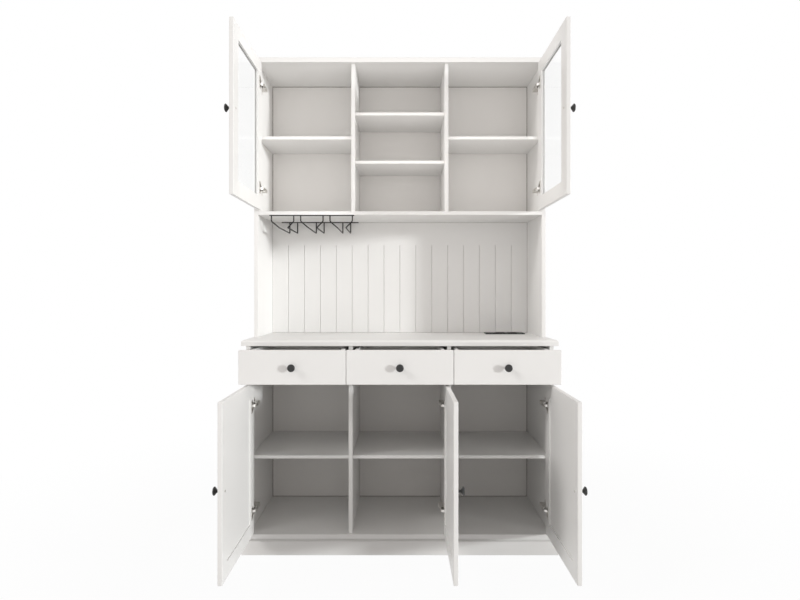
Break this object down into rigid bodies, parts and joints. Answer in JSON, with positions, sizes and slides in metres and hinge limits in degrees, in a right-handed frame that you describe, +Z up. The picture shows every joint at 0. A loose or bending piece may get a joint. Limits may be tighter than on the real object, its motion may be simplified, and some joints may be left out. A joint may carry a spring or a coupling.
{
  "type": "china cabinet",
  "caption": "Painted kitchen hutch: glazed and framed doors on concealed hinges, drawers on runners, shelves, an open grooved bay over a counter, and a stemware rack.",
  "frame": {"origin": "on the floor under the middle of the base carcass", "axes": "+Z up, -Y out of the front, +X to the cabinet's right as seen from the front"},
  "size_m": [1.2, 0.781, 1.936],
  "materials": {
    "white_paint": "satin white paint",
    "white_back": "white faced board",
    "clear_glass": "clear",
    "black_knob": "satin black",
    "black_wire": "black",
    "black_plastic": "black",
    "hinge_nickel": "nickel plate",
    "runner_steel": "zinc plate"
  },
  "bodies": {
    "carcass": {"base_back": "white_back", "base_bottom": "white_paint", "base_dividers": "white_paint", "base_shelves": "white_paint", "base_side_left": "white_paint", "base_side_right": "white_paint", "beadboard": "white_paint", "countertop": "white_paint", "drawer_runners": "runner_steel", "hinge_arms": "hinge_nickel", "hutch_back": "white_back", "hutch_dividers": "white_paint", "hutch_floor": "white_paint", "hutch_shelf_lower": "white_paint", "hutch_shelf_upper": "white_paint", "hutch_side_left": "white_paint", "hutch_side_right": "white_paint", "hutch_side_shelves": "white_paint", "hutch_top": "white_paint", "plinth": "white_paint", "plinth_brace": "white_paint", "rack_bars": "black_wire", "rack_wires": "black_wire", "socket_faces": "black_plastic", "socket_unit": "black_plastic"},
    "upper_left_links": {"upper_left_hinge_links": "hinge_nickel"},
    "upper_left_door": {"upper_left_door_frame": "white_paint", "upper_left_door_pane": "clear_glass", "upper_left_hinge_cups": "hinge_nickel", "upper_left_knob": "black_knob"},
    "upper_right_links": {"upper_right_hinge_links": "hinge_nickel"},
    "upper_right_door": {"upper_right_door_frame": "white_paint", "upper_right_door_pane": "clear_glass", "upper_right_hinge_cups": "hinge_nickel", "upper_right_knob": "black_knob"},
    "lower_left_links": {"lower_left_hinge_links": "hinge_nickel"},
    "lower_left_door": {"lower_left_door_frame": "white_paint", "lower_left_door_panel": "white_paint", "lower_left_hinge_cups": "hinge_nickel", "lower_left_knob": "black_knob"},
    "lower_middle_links": {"lower_middle_hinge_links": "hinge_nickel"},
    "lower_middle_door": {"lower_middle_door_frame": "white_paint", "lower_middle_door_panel": "white_paint", "lower_middle_hinge_cups": "hinge_nickel", "lower_middle_knob": "black_knob"},
    "lower_right_links": {"lower_right_hinge_links": "hinge_nickel"},
    "lower_right_door": {"lower_right_door_frame": "white_paint", "lower_right_door_panel": "white_paint", "lower_right_hinge_cups": "hinge_nickel", "lower_right_knob": "black_knob"},
    "left_drawer": {"left_drawer_box": "white_paint", "left_drawer_front": "white_paint", "left_drawer_knob": "black_knob"},
    "middle_drawer": {"middle_drawer_box": "white_paint", "middle_drawer_front": "white_paint", "middle_drawer_knob": "black_knob"},
    "right_drawer": {"right_drawer_box": "white_paint", "right_drawer_front": "white_paint", "right_drawer_knob": "black_knob"}
  },
  "joints": [
    {"name": "upper_left_link_turn", "type": "hinge", "parent": "carcass", "child": "upper_left_links", "pos_m": [-0.55062, -0.061, 1.616], "axis": [0, 0, 1], "range_deg": [-29.6, 0]},
    {"name": "upper_left_door_turn", "type": "hinge", "parent": "upper_left_links", "child": "upper_left_door", "pos_m": [-0.5591, -0.0918, 1.616], "axis": [0, 0, 1], "range_deg": [0, 119.57]},
    {"name": "upper_right_link_turn", "type": "hinge", "parent": "carcass", "child": "upper_right_links", "pos_m": [0.55062, -0.061, 1.616], "axis": [0, 0, -1], "range_deg": [-29.6, 0]},
    {"name": "upper_right_door_turn", "type": "hinge", "parent": "upper_right_links", "child": "upper_right_door", "pos_m": [0.5591, -0.0918, 1.616], "axis": [0, 0, -1], "range_deg": [0, 119.57]},
    {"name": "lower_left_link_turn", "type": "hinge", "parent": "carcass", "child": "lower_left_links", "pos_m": [-0.55062, -0.18, 0.367], "axis": [0, 0, 1], "range_deg": [-29.6, 0]},
    {"name": "lower_left_door_turn", "type": "hinge", "parent": "lower_left_links", "child": "lower_left_door", "pos_m": [-0.5591, -0.2108, 0.367], "axis": [0, 0, 1], "range_deg": [0, 119.57]},
    {"name": "lower_middle_link_turn", "type": "hinge", "parent": "carcass", "child": "lower_middle_links", "pos_m": [0.15559, -0.18, 0.367], "axis": [0, 0, -1], "range_deg": [-20.4, 0]},
    {"name": "lower_middle_door_turn", "type": "hinge", "parent": "lower_middle_links", "child": "lower_middle_door", "pos_m": [0.1736, -0.2108, 0.367], "axis": [0, 0, -1], "range_deg": [0, 110.37]},
    {"name": "lower_right_link_turn", "type": "hinge", "parent": "carcass", "child": "lower_right_links", "pos_m": [0.55062, -0.18, 0.367], "axis": [0, 0, -1], "range_deg": [-29.6, 0]},
    {"name": "lower_right_door_turn", "type": "hinge", "parent": "lower_right_links", "child": "lower_right_door", "pos_m": [0.5591, -0.2108, 0.367], "axis": [0, 0, -1], "range_deg": [0, 119.57]},
    {"name": "left_drawer_slide", "type": "slide", "parent": "carcass", "child": "left_drawer", "axis": [0, -1, 0], "range_m": [-0.093, 0.15]},
    {"name": "middle_drawer_slide", "type": "slide", "parent": "carcass", "child": "middle_drawer", "axis": [0, -1, 0], "range_m": [-0.093, 0.15]},
    {"name": "right_drawer_slide", "type": "slide", "parent": "carcass", "child": "right_drawer", "axis": [0, -1, 0], "range_m": [-0.093, 0.15]}
  ],
  "couplings": [
    {"joint": "upper_left_link_turn", "follows": "upper_left_door_turn", "ratio": -0.24738},
    {"joint": "upper_right_link_turn", "follows": "upper_right_door_turn", "ratio": -0.24738},
    {"joint": "lower_left_link_turn", "follows": "lower_left_door_turn", "ratio": -0.24738},
    {"joint": "lower_middle_link_turn", "follows": "lower_middle_door_turn", "ratio": -0.18466},
    {"joint": "lower_right_link_turn", "follows": "lower_right_door_turn", "ratio": -0.24738}
  ]
}
